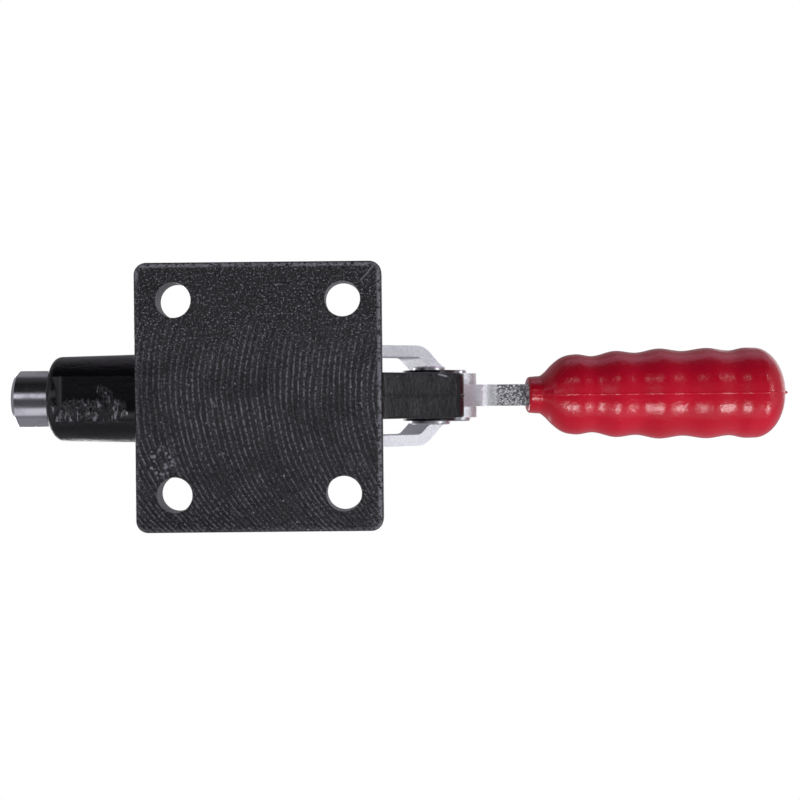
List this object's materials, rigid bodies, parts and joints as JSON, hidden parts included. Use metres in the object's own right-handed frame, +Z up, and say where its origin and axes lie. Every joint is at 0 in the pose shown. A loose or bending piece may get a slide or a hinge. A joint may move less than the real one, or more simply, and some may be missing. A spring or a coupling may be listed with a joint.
{
  "type": "push-pull toggle clamp",
  "caption": "Straight-line toggle clamp: a cast base with a tapered barrel guides a steel plunger, worked through bowed links by a flat lever with a moulded grip.",
  "frame": {"origin": "middle of the four bolt holes on the mounting face", "axes": "+Z up out of the mounting face, +X the way the plunger pushes, +Y across the clamp"},
  "size_m": [0.2111, 0.066, 0.063],
  "materials": {
    "black_enamel": "thick gloss black enamel on a cast body",
    "ground_steel": "ground and polished bright steel",
    "zinc_plate": "zinc plated blanked steel",
    "rivet_steel": "plated rivet steel",
    "red_plastic": "glossy red moulded plastic"
  },
  "bodies": {
    "base": {"base_casting": "black_enamel", "pivot_rivet": "rivet_steel"},
    "handle": {"lever": "zinc_plate", "grip": "red_plastic"},
    "links": {"left_link": "zinc_plate", "right_link": "zinc_plate", "link_rivet": "rivet_steel", "plunger_pin": "rivet_steel"},
    "plunger": {"plunger": "ground_steel"}
  },
  "joints": [
    {"name": "handle_swing", "type": "hinge", "parent": "base", "child": "handle", "pos_m": [-0.0423, 0, 0.025], "axis": [0, 1, 0], "range_deg": [0, 116.5]},
    {"name": "link_pivot", "type": "hinge", "parent": "handle", "child": "links", "pos_m": [-0.05, 0, 0.0427], "axis": [0, -1, 0], "range_deg": [0, 147.56]},
    {"name": "plunger_slide", "type": "slide", "parent": "base", "child": "plunger", "axis": [1, 0, 0], "range_m": [0, 0.03161]}
  ],
  "couplings": [
    {"joint": "link_pivot", "follows": "handle_swing", "ratio": 1.2666},
    {"joint": "plunger_slide", "follows": "handle_swing", "m_per_rad": 0.015544}
  ]
}
